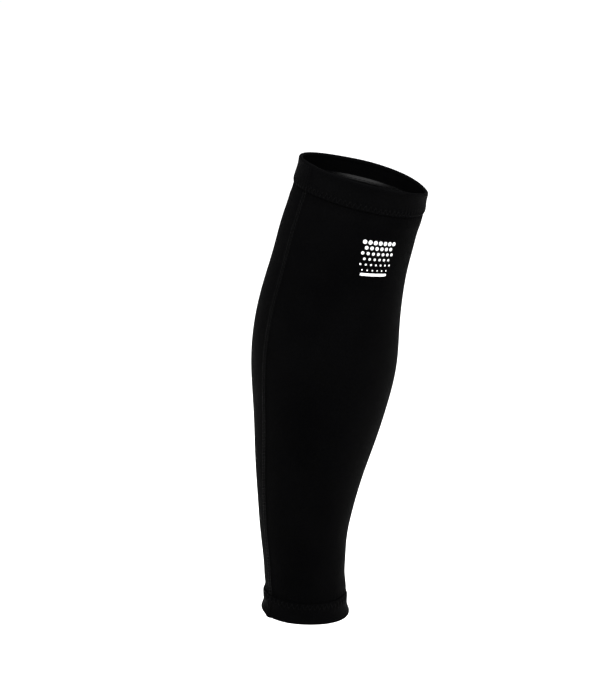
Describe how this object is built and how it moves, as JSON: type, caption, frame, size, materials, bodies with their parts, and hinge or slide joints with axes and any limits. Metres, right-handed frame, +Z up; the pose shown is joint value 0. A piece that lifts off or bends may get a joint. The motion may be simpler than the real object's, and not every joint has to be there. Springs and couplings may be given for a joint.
{
  "type": "calf compression sleeve",
  "caption": "Black knitted tube for the lower leg, narrow above the ankle and full over the calf, with a folded hem round each opening.",
  "frame": {"origin": "middle of the tube where the calf is fullest, inside the leg that wears it", "axes": "+Z up the leg from ankle to knee, +Y towards the shin and the toes, +X the outer side of a right leg"},
  "size_m": [0.1142, 0.1437, 0.3872],
  "materials": {
    "knit": "matte black fine knit with elastane",
    "hem": "matte black knit, folded double"
  },
  "bodies": {
    "root": {"sleeve_body": "knit", "knee_band": "hem", "ankle_band": "hem"}
  },
  "joints": []
}
